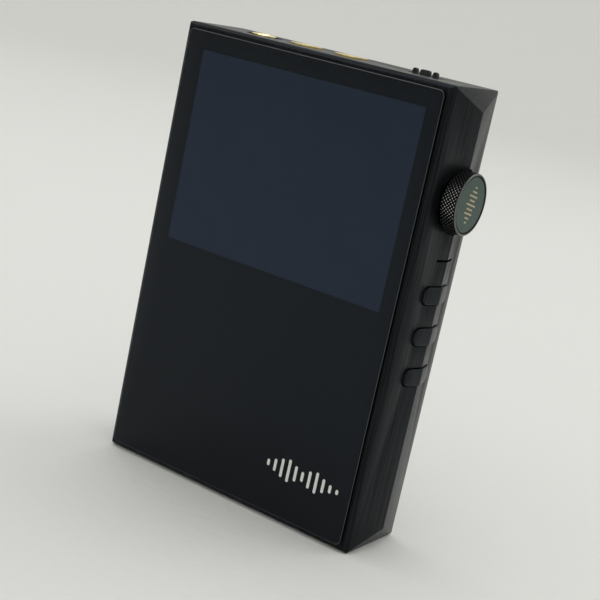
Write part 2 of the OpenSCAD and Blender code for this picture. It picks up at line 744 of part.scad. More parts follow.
module rear_plate() color("#a9acae") difference() {
    along_y(y_rear_plate, y_back_film) plate_outline();
    for (x = [-1, 1], z = post_z) {
        rod_y(x * post_x, z, y_rear_plate - over, y_back_film + over, tap_r);
        rod_y(x * post_x, z, y_back_film - head_h, y_back_film + over, head_r + fit);
    }
}

module rear_plate_screws() color("#8d8f92") for (x = [-1, 1], z = post_z)
    screw_y(x * post_x, z, y_back_film - head_h, 1, screw_r, head_r, head_h, screw_l);

module back_adhesive() color("#26282b") along_y(y_back_film, y_back_panel) film_frame(3);

module back_panel() color("#1c1f23") along_y(y_back_panel, y_back) glass_outline(0);

case_body();
front_glass();
glass_gasket();
glass_adhesive();
display_panel();
backlight();
display_tray();
display_flex();
flex_connector();
front_foam();
middle_plate();
middle_plate_screws();
main_board();
main_board_screws();
processor_shield();
memory_shield();
usb_shell();
usb_tongue();
card_socket();
battery();
battery_board();
battery_foam();
board_spacers();
audio_board();
audio_board_screws();
converter_shield();
capacitors();
jack(0);  // wide_jack
jack(1);  // line_jack
jack(2);  // phone_jack
jack_ring(0);  // wide_jack_ring
jack_ring(1);  // line_jack_ring
jack_ring(2);  // phone_jack_ring
switch_body();
slide_lever();
slide_button();
encoder_body();
encoder_bush();
encoder_washer();
encoder_nut();
encoder_shaft();
volume_knob();
knob_inlay();
key_board();
key_board_screws();
key_switch(0);  // key_switch_1
key_switch(1);  // key_switch_2
key_switch(2);  // key_switch_3
key(0);  // key_1
key(1);  // key_2
key(2);  // key_3
status_led();
light_pipe();
rear_plate();
rear_plate_screws();
back_adhesive();
back_panel();
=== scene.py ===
"""Looks of a pocket digital audio player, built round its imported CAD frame.

The frame gives every piece its place.
"""

import json
import math

import bmesh
import bpy
from mathutils import Matrix, Vector


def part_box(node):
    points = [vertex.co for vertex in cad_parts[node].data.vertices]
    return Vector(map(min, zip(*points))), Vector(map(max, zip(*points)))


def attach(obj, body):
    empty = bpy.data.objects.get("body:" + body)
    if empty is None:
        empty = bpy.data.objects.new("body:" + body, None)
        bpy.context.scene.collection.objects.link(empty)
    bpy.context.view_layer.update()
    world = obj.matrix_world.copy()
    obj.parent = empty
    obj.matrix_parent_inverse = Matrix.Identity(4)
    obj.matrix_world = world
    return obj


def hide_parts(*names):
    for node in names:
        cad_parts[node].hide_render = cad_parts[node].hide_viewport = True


bl_info = {
    "name": "Audio player looks",
    "version": (1, 0, 0),
    "blender": (4, 5, 0),
    "location": "3D View > Sidebar > Player",
    "description": "Models and finishes the visible pieces of a pocket digital audio player",
    "category": "Object",
}

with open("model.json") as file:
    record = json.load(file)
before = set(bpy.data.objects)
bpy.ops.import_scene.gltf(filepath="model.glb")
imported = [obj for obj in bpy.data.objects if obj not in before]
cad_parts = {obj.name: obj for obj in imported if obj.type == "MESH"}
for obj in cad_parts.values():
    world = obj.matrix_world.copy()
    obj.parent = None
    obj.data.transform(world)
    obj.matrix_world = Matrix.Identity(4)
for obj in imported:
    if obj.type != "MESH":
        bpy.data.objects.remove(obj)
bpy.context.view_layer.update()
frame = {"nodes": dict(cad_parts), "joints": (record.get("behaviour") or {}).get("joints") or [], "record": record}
MM = 0.001

CASE_LOW, CASE_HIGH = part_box("case_body")
KNOB_LOW, KNOB_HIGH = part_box("volume_knob")
INLAY_LOW, INLAY_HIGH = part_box("knob_inlay")
GLASS_LOW, GLASS_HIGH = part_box("front_glass")
PANEL_LOW, PANEL_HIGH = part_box("display_panel")
BACK_LOW, BACK_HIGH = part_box("back_panel")
JOINTS = {joint["name"]: joint for joint in frame["joints"]}
KNOB_CENTRE = Vector(JOINTS["volume_turn"]["pos_m"])
JACKS = ("wide_jack_ring", "line_jack_ring", "phone_jack_ring")
NEAR = 0.01 * MM  # two points of the case this close are at the same place
AXIS = 1e-6  # a radius that stands for the axis itself, merged into one point after a spin
POLE_MERGE = 0.004 * MM
KEYS = {"key_1": "upper_key", "key_2": "middle_key", "key_3": "lower_key"}


# ---------------------------------------------------------------- colours and nodes


def hex_colour(code):
    """An sRGB hex value as the linear colour, with alpha, that the shaders take."""
    parts = [int(code[i : i + 2], 16) / 255 for i in (1, 3, 5)]
    return [p / 12.92 if p <= 0.04045 else ((p + 0.055) / 1.055) ** 2.4 for p in parts] + [1.0]


def shade(colour, factor):
    """A colour made darker or lighter, with its alpha kept."""
    return [min(1.0, c * factor) for c in colour[:3]] + [1.0]


def add(tree, kind, inputs=None, **attributes):
    """Adds a node, sets its attributes, and gives its inputs their values or links."""
    node = tree.nodes.new(kind)
    for name, value in attributes.items():
        setattr(node, name, value)
    for name, value in (inputs or {}).items():
        if isinstance(value, bpy.types.NodeSocket):
            tree.links.new(value, node.inputs[name])
        else:
            node.inputs[name].default_value = value
    return node


def start_material(name):
    """An empty material, its node tree, and its object coordinates in metres."""
    material = bpy.data.materials.new(name)
    material.use_nodes = True
    tree = material.node_tree
    tree.nodes.clear()
    return material, tree, add(tree, "ShaderNodeTexCoord").outputs["Object"]


# ---------------------------------------------------------------- materials


def brushed_anodised_aluminium(name, colour, line_width, line_length):
    """Black anodised aluminium, brushed before anodising: the lines run up the sides and
    across the ends, so the eye sees a dark satin with fine grey hairs along each face.
    Real brush lines are about 0.05 mm wide; these are drawn coarser so that they show."""
    material, tree, place = start_material(name)
    end_slope = 0.6  # a face whose normal is steeper than this is an end
    normal = add(
        tree, "ShaderNodeSeparateXYZ",
        {0: add(tree, "ShaderNodeNewGeometry").outputs["Normal"]},
    ).outputs["Z"]
    flat = add(tree, "ShaderNodeMath", {0: normal}, operation="ABSOLUTE").outputs[0]
    is_end = add(
        tree, "ShaderNodeMath", {0: flat, 1: end_slope}, operation="GREATER_THAN"
    ).outputs[0]
    hairs = []
    for width, length in ((line_width, line_length), (line_width / 3, line_length / 3)):
        runs = []
        for scale in (
            (1 / width, 1 / width, 1 / length), (1 / length, 1 / width, 1 / width)
        ):
            drawn = add(tree, "ShaderNodeMapping", {"Vector": place, "Scale": scale})
            runs.append(add(
                tree, "ShaderNodeTexNoise",
                {"Vector": drawn.outputs[0], "Scale": 1.0, "Detail": 2.0},
            ).outputs["Fac"])
        hairs.append(add(
            tree, "ShaderNodeMix", {0: is_end, 2: runs[0], 3: runs[1]}, data_type="FLOAT"
        ).outputs[0])
    brush = add(
        tree, "ShaderNodeMix", {0: 0.4, 2: hairs[0], 3: hairs[1]}, data_type="FLOAT"
    ).outputs[0]
    lines = add(
        tree, "ShaderNodeMapRange", {"Value": brush, "From Min": 0.4, "From Max": 0.6}
    ).outputs[0]
    tint = add(
        tree, "ShaderNodeMix", {0: lines, 6: shade(colour, 0.45), 7: shade(colour, 1.6)},
        data_type="RGBA",
    ).outputs[2]
    rough = add(
        tree, "ShaderNodeMapRange", {"Value": lines, "To Min": 0.42, "To Max": 0.32}
    ).outputs[0]
    bump = add(
        tree, "ShaderNodeBump", {"Height": lines, "Distance": 0.008 * MM, "Strength": 0.8}
    ).outputs[0]
    shader = add(
        tree, "ShaderNodeBsdfPrincipled",
        {"Base Color": tint, "Metallic": 1.0, "Roughness": rough, "Normal": bump},
    )
    add(tree, "ShaderNodeOutputMaterial", {0: shader.outputs[0]})
    return material


def coated_glass(name, colour):
    """Coated cover glass bonded to what lies behind it, with no air gap: the eye sees one
    deep, nearly black sheet with a weak, bluish mirror and faint smears."""
    material, tree, place = start_material(name)
    smears = add(
        tree, "ShaderNodeTexNoise", {"Vector": place, "Scale": 1 / (9 * MM), "Detail": 4.0}
    ).outputs["Fac"]
    rough = add(
        tree, "ShaderNodeMapRange", {"Value": smears, "To Min": 0.02, "To Max": 0.14}
    ).outputs[0]
    tint = add(
        tree, "ShaderNodeMix", {0: smears, 6: shade(colour, 0.9), 7: shade(colour, 1.1)},
        data_type="RGBA",
    ).outputs[2]
    shader = add(
        tree, "ShaderNodeBsdfPrincipled",
        {"Base Color": tint, "Roughness": rough, "IOR": 1.35,
         "Specular Tint": hex_colour("#dcecff")},
    )
    add(tree, "ShaderNodeOutputMaterial", {0: shader.outputs[0]})
    return material


def printed_sheet(name, colour, pitch, variation):
    """Screen-printed ink: an even matt colour with the fine mesh it was printed through."""
    material, tree, place = start_material(name)
    bands = [
        add(
            tree, "ShaderNodeTexWave", {"Vector": place, "Scale": math.pi / (10 * pitch)},
            bands_direction=direction,
        ).outputs["Fac"]
        for direction in ("X", "Z")
    ]
    mesh = add(
        tree, "ShaderNodeMath", {0: bands[0], 1: bands[1]}, operation="MULTIPLY"
    ).outputs[0]
    tint = add(
        tree, "ShaderNodeMix",
        {0: mesh, 6: shade(colour, 1 - variation), 7: shade(colour, 1 + variation)},
        data_type="RGBA",
    ).outputs[2]
    shader = add(
        tree, "ShaderNodeBsdfPrincipled",
        {"Base Color": tint, "Roughness": 0.6, "Specular IOR Level": 0.2},
    )
    add(tree, "ShaderNodeOutputMaterial", {0: shader.outputs[0]})
    return material


def turned_metal(name, dark, light, roughness, centre, direction, pitch):
    """Metal turned on a lathe: fine rings round its centre, which catch the light in turn.
    A real feed is about 0.03 mm; the rings are drawn coarser so that they show."""
    material, tree, place = start_material(name)
    centred = add(
        tree, "ShaderNodeMapping", {"Vector": place, "Location": [-c for c in centre]}
    ).outputs[0]
    rings = add(
        tree, "ShaderNodeTexWave",
        {"Vector": centred, "Scale": math.pi / (10 * pitch), "Distortion": 0.6,
         "Detail": 2.0},
        wave_type="RINGS", rings_direction=direction,
    ).outputs["Fac"]
    tint = add(
        tree, "ShaderNodeMix", {0: rings, 6: dark, 7: light}, data_type="RGBA"
    ).outputs[2]
    rough = add(
        tree, "ShaderNodeMapRange",
        {"Value": rings, "To Min": roughness * 0.8, "To Max": roughness * 1.2},
    ).outputs[0]
    bump = add(
        tree, "ShaderNodeBump", {"Height": rings, "Distance": 0.004 * MM, "Strength": 0.5}
    ).outputs[0]
    shader = add(
        tree, "ShaderNodeBsdfPrincipled",
        {"Base Color": tint, "Metallic": 1.0, "Roughness": rough, "Normal": bump},
    )
    add(tree, "ShaderNodeOutputMaterial", {0: shader.outputs[0]})
    return material


def grained(name, colour, metallic, roughness, size, variation=0.15, level=0.5):
    """Blasted, cast, moulded or painted stock: an even colour with a fine tooth, which
    breaks up the reflections a little."""
    material, tree, place = start_material(name)
    tooth = add(
        tree, "ShaderNodeTexNoise", {"Vector": place, "Scale": 1 / size, "Detail": 2.0}
    ).outputs["Fac"]
    tint = add(
        tree, "ShaderNodeMix",
        {0: tooth, 6: shade(colour, 1 - variation), 7: shade(colour, 1 + variation)},
        data_type="RGBA",
    ).outputs[2]
    rough = add(
        tree, "ShaderNodeMapRange",
        {"Value": tooth, "From Min": 0.3, "From Max": 0.7, "To Min": roughness * 0.85,
         "To Max": roughness * 1.15},
    ).outputs[0]
    bump = add(
        tree, "ShaderNodeBump", {"Height": tooth, "Distance": size / 12, "Strength": 0.5}
    ).outputs[0]
    shader = add(
        tree, "ShaderNodeBsdfPrincipled",
        {"Base Color": tint, "Metallic": metallic, "Roughness": rough, "Normal": bump,
         "Specular IOR Level": level},
    )
    add(tree, "ShaderNodeOutputMaterial", {0: shader.outputs[0]})
    return material


def solder_mask():
    """Green solder mask on a circuit board: semi-gloss, with copper tracks showing through."""
    material, tree, place = start_material("solder_mask")
    tracks = add(
        tree, "ShaderNodeTexBrick",
        {"Vector": place, "Scale": 1 / (4 * MM), "Mortar Size": 0.03,
         "Color1": hex_colour("#14402b"), "Color2": hex_colour("#1a4c33"),
         "Mortar": hex_colour("#2b6a45")},
    )
    bump = add(
        tree, "ShaderNodeBump",
        {"Height": tracks.outputs["Fac"], "Distance": 0.02 * MM, "Strength": 0.5},
    ).outputs[0]
    shader = add(
        tree, "ShaderNodeBsdfPrincipled",
        {"Base Color": tracks.outputs["Color"], "Roughness": 0.35, "Normal": bump},
    )
    add(tree, "ShaderNodeOutputMaterial", {0: shader.outputs[0]})
    return material


def inner_material(slot):
    """The finish of each inner piece, by the record's material slot."""
    if slot == "board":
        return solder_mask()
    # name, colour, metallic, roughness, grain in millimetres
    name, code, metallic, roughness, size = {
        "black_rubber": ("moulded_silicone_rubber", "#060708", 0.0, 0.8, 0.12),
        "film": ("adhesive_film", "#101113", 0.0, 0.5, 0.2),
        "display": ("bare_display_glass", "#151f2b", 0.0, 0.3, 0.2),
        "white_plastic": ("moulded_white_nylon", "#d9dad6", 0.0, 0.45, 0.15),
        "steel": ("stamped_tinned_steel", "#a9abac", 1.0, 0.35, 0.3),
        "plate": ("rolled_aluminium", "#b4b6b7", 1.0, 0.4, 0.4),
        "flex": ("polyimide_film", "#a8702a", 0.0, 0.35, 0.4),
        "black_plastic": ("moulded_black_nylon", "#16171a", 0.0, 0.5, 0.15),
        "foam": ("open_cell_foam", "#38383a", 0.0, 0.9, 0.3),
        "battery": ("embossed_battery_foil", "#59636c", 0.6, 0.4, 0.5),
        "capacitor": ("sleeved_aluminium_can", "#8a8c90", 1.0, 0.35, 0.2),
        "screws": ("zinc_plated_steel", "#9a9c9f", 1.0, 0.35, 0.15),
        "brass": ("machined_brass", "#b99a4a", 1.0, 0.3, 0.2),
        "bush": ("nickel_plated_brass", "#b9b7ae", 1.0, 0.25, 0.2),
        "light_pipe": ("smoked_acrylic", "#030304", 0.0, 0.6, 0.3),
    }[slot]
    level = 0.0 if slot == "light_pipe" else 0.5
    return grained(name, hex_colour(code), metallic, roughness, size * MM, level=level)


# ---------------------------------------------------------------- mesh helpers


def finish_piece(mesh, name, materials, body, replaced=(), smooth_angle=32.0):
    for face in mesh.faces:
        face.smooth = True
    for edge in mesh.edges:
        if len(edge.link_faces) == 2:
            edge.smooth = edge.calc_face_angle(0.0) < math.radians(smooth_angle)
    data = bpy.data.meshes.new(name)
    mesh.to_mesh(data)
    mesh.free()
    for material in materials:
        data.materials.append(material)
    piece = bpy.data.objects.new(name, data)
    bpy.context.scene.collection.objects.link(piece)
    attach(piece, body)
    if replaced:
        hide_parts(*replaced)
    return piece


def bevel(mesh, edges, width, segments):
    """Rounds the given edges."""
    bmesh.ops.bevel(
        mesh, geom=edges, offset=width, offset_type="OFFSET", segments=segments, profile=0.5,
        affect="EDGES", material=-1, clamp_overlap=True,
    )


def merged_copy(node):
    """A copy of a CAD node as one closed skin of flat faces."""
    same_point, same_plane = 0.0005 * MM, math.radians(0.5)
    mesh = bmesh.new()
    mesh.from_mesh(frame["nodes"][node].data)
    bmesh.ops.remove_doubles(mesh, verts=mesh.verts, dist=same_point)
    bmesh.ops.dissolve_limit(
        mesh, angle_limit=same_plane, verts=mesh.verts, edges=mesh.edges
    )
    return mesh


def soften(mesh, width, segments=2, least_angle=25.0):
    """Rounds every sharp edge, then clears the slivers that this leaves."""
    sliver = 0.003 * MM
    sharp = [
        edge for edge in mesh.edges
        if len(edge.link_faces) == 2
        and edge.calc_face_angle(0.0) > math.radians(least_angle)
    ]
    bevel(mesh, sharp, width, segments)
    bmesh.ops.dissolve_degenerate(mesh, dist=sliver, edges=mesh.edges)


def block(mesh, low, high):
    """Adds a box between two corners and returns its vertices."""
    made = bmesh.ops.create_cube(mesh, size=1.0)["verts"]
    low, high = Vector(low), Vector(high)
    bmesh.ops.scale(mesh, vec=high - low, verts=made)
    bmesh.ops.translate(mesh, vec=(low + high) / 2, verts=made)
    return made


def rounded_plate(low, high, corner, edge):
    """A plate in the X-Z plane with round corners and softened edges on its front face."""
    tiny = 1e-6
    mesh = bmesh.new()
    block(mesh, low, high)
    along_y = [e for e in mesh.edges if abs(e.verts[0].co.y - e.verts[1].co.y) > tiny]
    bevel(mesh, along_y, corner, 10)
    limit = low[1] + tiny
    rims = [
        e for e in mesh.edges
        if abs(e.verts[0].co.y - e.verts[1].co.y) < 1e-7
        and e.verts[0].co.y < limit
        and e.calc_face_angle(0.0) > 1.0
    ]
    bevel(mesh, rims, edge, 3)
    return mesh


def lathe(mesh, profile, segments, closed=True):
    """Spins a profile of (radius, height) points round Z and returns its faces."""
    verts = [mesh.verts.new((r, 0.0, h)) for r, h in profile]
    first = 0 if closed else 1
    edges = [mesh.edges.new((verts[i - 1], verts[i])) for i in range(first, len(verts))]
    before = set(mesh.faces)
    bmesh.ops.spin(
        mesh, geom=verts + edges, cent=(0, 0, 0), axis=(0, 0, 1), dvec=(0, 0, 0),
        angle=2 * math.pi, steps=segments, use_merge=True, use_duplicate=False,
    )
    return [face for face in mesh.faces if face not in before]


def turn_to_knob(mesh, verts=None):
    """Lays a shape made round Z along the knob's axis, its zero height at the knob's base."""
    place = Matrix.Translation((KNOB_LOW.x, KNOB_CENTRE.y, KNOB_CENTRE.z))
    bmesh.ops.transform(
        mesh, matrix=place @ Matrix.Rotation(math.pi / 2, 4, "Y"), verts=verts or mesh.verts
    )


# ---------------------------------------------------------------- settings


class PlayerCaseSettings(bpy.types.PropertyGroup):
    """Sizes and colours of the metal case, keys and slide switch."""

    colour: bpy.props.FloatVectorProperty(
        name="Anodising", description="Colour of the black anodised aluminium",
        default=hex_colour("#212427"), size=4, subtype="COLOR", min=0.0, max=1.0,
    )
    edge_width: bpy.props.FloatProperty(
        name="Edge", description="Width of the softened edges of the case",
        default=0.1 * MM, unit="LENGTH", precision=5,
    )
    crease_width: bpy.props.FloatProperty(
        name="End crease", description="Width of the rounding where the flank leaves an end",
        default=1.1 * MM, unit="LENGTH", precision=5,
    )
    line_width: bpy.props.FloatProperty(
        name="Brush line", description="Width of one brushed line",
        default=0.2 * MM, unit="LENGTH", precision=5,
    )
    line_length: bpy.props.FloatProperty(
        name="Brush length", description="Length of one brushed line",
        default=28 * MM, unit="LENGTH", precision=5,
    )
    slide_colour: bpy.props.FloatVectorProperty(
        name="Slide switch", description="Colour of the blasted slide switch",
        default=hex_colour("#3b3c3d"), size=4, subtype="COLOR", min=0.0, max=1.0,
    )


class PlayerGlassSettings(bpy.types.PropertyGroup):
    """Sizes and colours of the glass, its print and the display."""

    bevel_width: bpy.props.FloatProperty(
        name="Glass bevel", description="Width of the ground edge of the cover glass",
        default=0.15 * MM, unit="LENGTH", precision=5,
    )
    corner_radius: bpy.props.FloatProperty(
        name="Glass corner", description="Radius of the cover glass's corners",
        default=1.4 * MM, unit="LENGTH", precision=5,
    )
    # painted highlight: the light grey of the glass's sloping edge stands in for the light that edge catches
    edge_highlight_colour: bpy.props.FloatVectorProperty(
        name="Glass edge", description="Colour of the ground edge of the cover glass",
        default=hex_colour("#4b4e51"), size=4, subtype="COLOR", min=0.0, max=1.0,
    )
    panel_frame: bpy.props.FloatProperty(
        name="Panel frame", description="Width of the display's own frame round its picture",
        default=1.5 * MM, unit="LENGTH", precision=5,
    )
    window_shift: bpy.props.FloatVectorProperty(
        name="Window shift", description="How far the window sits from the panel's middle",
        default=(0.75 * MM, 0.0), size=2, unit="LENGTH", precision=5,
    )
    print_depth: bpy.props.FloatProperty(
        name="Print depth", description="Thickness of the print on the glass",
        default=0.01 * MM, unit="LENGTH", precision=5,
    )
    ink_colour: bpy.props.FloatVectorProperty(
        name="Ink", description="Colour of the black border",
        default=hex_colour("#020204"), size=4, subtype="COLOR", min=0.0, max=1.0,
    )
    display_colour: bpy.props.FloatVectorProperty(
        name="Display", description="Colour of the display when it is off",
        default=hex_colour("#1a2434"), size=4, subtype="COLOR", min=0.0, max=1.0,
    )
    mark_colour: bpy.props.FloatVectorProperty(
        name="Mark", description="Colour of the printed level bars",
        default=hex_colour("#e4e4df"), size=4, subtype="COLOR", min=0.0, max=1.0,
    )


class PlayerKnobSettings(bpy.types.PropertyGroup):
    """Sizes and colours of the volume knob."""

    mark_colour: bpy.props.FloatVectorProperty(
        name="Mark", description="Colour of the gilt bars on the inlay",
        default=hex_colour("#b8ab84"), size=4, subtype="COLOR", min=0.0, max=1.0,
    )
    knurls: bpy.props.IntProperty(
        name="Knurls", description="Number of diamonds round the knob", default=50, min=12
    )
    knurl_depth: bpy.props.FloatProperty(
        name="Knurl depth", description="Height of a diamond above its grooves",
        default=0.3 * MM, unit="LENGTH", precision=5,
    )
    tip_share: bpy.props.FloatProperty(
        name="Tip", description="Width of a diamond's flat tip, as a share of its base",
        default=0.38, min=0.05, max=0.9, subtype="FACTOR",
    )
    # painted highlight: the lighter grey of the lip's outer rim stands in for the light that edge catches
    rim_highlight_colour: bpy.props.FloatVectorProperty(
        name="Lip", description="Colour of the turned lip round the inlay",
        default=hex_colour("#626461"), size=4, subtype="COLOR", min=0.0, max=1.0,
    )
    # painted highlight: the light tip colour stands in for the glints on the diamonds' tips
    tip_highlight_colour: bpy.props.FloatVectorProperty(
        name="Tip highlight", description="Colour of the diamonds' cut tips",
        default=hex_colour("#b4b5b1"), size=4, subtype="COLOR", min=0.0, max=1.0,
    )
    colour: bpy.props.FloatVectorProperty(
        name="Knob", description="Colour of the knurled aluminium",
        default=hex_colour("#1b1c1e"), size=4, subtype="COLOR", min=0.0, max=1.0,
    )
    inlay_colour: bpy.props.FloatVectorProperty(
        name="Inlay", description="Colour of the green anodised inlay",
        default=hex_colour("#3e504b"), size=4, subtype="COLOR", min=0.0, max=1.0,
    )


class PlayerStageSettings(bpy.types.PropertyGroup):
    """The floor, the light and the camera."""

    floor_colour: bpy.props.FloatVectorProperty(
        name="Floor", description="Colour of the floor and its sweep",
        default=hex_colour("#ecece7"), size=4, subtype="COLOR", min=0.0, max=1.0,
    )
    floor_radius: bpy.props.FloatProperty(
        name="Floor radius", description="Radius of the flat part of the floor",
        default=1.3, unit="LENGTH",
    )
    focal_length: bpy.props.FloatProperty(
        name="Focal length", description="Focal length of the lens, in millimetres",
        default=79.81,
    )
    camera_place: bpy.props.FloatVectorProperty(
        name="Camera", description="Where the camera stands",
        default=(0.16541, -0.26387, 0.12238), size=3, subtype="TRANSLATION", precision=5,
    )
    camera_aim: bpy.props.FloatVectorProperty(
        name="Aim", description="The point in the middle of the view",
        default=(0.00349, 0.00094, 0.04984), size=3, subtype="TRANSLATION", precision=5,
    )
    camera_roll: bpy.props.FloatProperty(
        name="Roll", description="How far the camera is rolled",
        default=math.radians(-12.22), subtype="ANGLE",
    )


# ---------------------------------------------------------------- operators


class PLAYER_OT_case(bpy.types.Operator):
    """Make the brushed case with softened edges"""

    bl_idname = "player.case"
    bl_label = "Case"

    def execute(self, context):
        settings = context.scene.player_case
        metal = brushed_anodised_aluminium(
            "brushed_black_anodised_aluminium", settings.colour, settings.line_width,
            settings.line_length,
        )
        mesh = merged_copy("case_body")
        flank_x = max(v.co.x for v in mesh.verts if v.co.z > CASE_HIGH.z - NEAR)
        creases = [
            e for e in mesh.edges
            if all(
                abs(v.co.x - flank_x) < NEAR
                and min(v.co.z - CASE_LOW.z, CASE_HIGH.z - v.co.z) < NEAR
                for v in e.verts
            )
        ]
        bevel(mesh, creases, settings.crease_width, 4)
        soften(mesh, settings.edge_width)
        finish_piece(mesh, "case_shell", [metal], "case", ["case_body"])
        return {"FINISHED"}


class PLAYER_OT_front(bpy.types.Operator):
    """Make the cover glass, with its black border and the display behind its window"""

    bl_idname = "player.front"
    bl_label = "Front glass"

    def execute(self, context):
        settings = context.scene.player_glass
        low = GLASS_LOW + Vector((0, settings.print_depth, 0))
        mesh = rounded_plate(low, GLASS_HIGH, settings.corner_radius, settings.bevel_width)
        # the window leaves the display's own frame covered
        margin = settings.panel_frame
        across, up = settings.window_shift
        left, right = PANEL_LOW.x + margin + across, PANEL_HIGH.x - margin + across
        bottom, top = PANEL_LOW.z + margin + up, PANEL_HIGH.z - margin + up
        for point, way in (
            ((left, 0, 0), (1, 0, 0)), ((right, 0, 0), (1, 0, 0)),
            ((0, 0, bottom), (0, 0, 1)), ((0, 0, top), (0, 0, 1)),
        ):
            bmesh.ops.bisect_plane(
                mesh, geom=list(mesh.verts) + list(mesh.edges) + list(mesh.faces),
                plane_co=point, plane_no=way,
            )
        for face in mesh.faces:
            middle = face.calc_center_median()
            inside = left < middle.x < right and bottom < middle.z < top
            # the sloping edge is painted light on the left, top and bottom as a painted highlight; on the right it
            # keeps the black ink as painted shade, where the edge catches no light
            if 0.1 < abs(face.normal.y) < 0.99 and face.normal.x < 0.5:
                face.material_index = 1
            elif inside and face.normal.y < 0:
                face.material_index = 2
        ink = coated_glass("coated_glass_over_black_ink", settings.ink_colour)
        # painted highlight: the light line along the glass's left, top and bottom edges
        edge = grained(
            "glass_edge_painted_highlight", settings.edge_highlight_colour, metallic=0.0, roughness=0.35,
            size=0.1 * MM,
        )
        display = coated_glass("coated_glass_over_unlit_display", settings.display_colour)
        finish_piece(
            mesh, "cover_glass", [ink, edge, display], "case",
            ["front_glass"],
        )
        return {"FINISHED"}


def level_bars(heights, pitch, width):
    """A row of upright bars with round ends, centred, in the X-Z plane and 1 deep along Y."""
    mesh = bmesh.new()
    start = -(len(heights) - 1) / 2
    for index, height in enumerate(heights):
        x = (start + index) * pitch
        block(mesh, (x - width / 2, 0, -height / 2), (x + width / 2, 1, height / 2))
    ends = [e for e in mesh.edges if abs(e.verts[0].co.y - e.verts[1].co.y) > 0.5]
    bevel(mesh, ends, width * 0.49, 4)
    return mesh


class PLAYER_OT_level_mark(bpy.types.Operator):
    """Print a plain row of level bars low on the right of the glass"""

    bl_idname = "player.level_mark"
    bl_label = "Level mark"

    def execute(self, context):
        settings = context.scene.player_glass
        heights = [h * MM for h in (1.6, 3.0, 4.6, 5.6, 3.8, 2.4, 4.2, 5.2, 3.4, 2.0, 1.2)]
        mesh = level_bars(heights, pitch=1.95 * MM, width=0.75 * MM)
        from_left, up = 58.0 * MM, 13.4 * MM
        place = Matrix.Translation((CASE_LOW.x + from_left, GLASS_LOW.y, up))
        bmesh.ops.transform(
            mesh, matrix=place @ Matrix.Diagonal((1, settings.print_depth * 2, 1, 1)),
            verts=mesh.verts,
        )
        paint = printed_sheet(
            "printed_white_ink", settings.mark_colour, pitch=0.15 * MM, variation=0.05
        )
        finish_piece(mesh, "level_mark", [paint], "case")
        return {"FINISHED"}


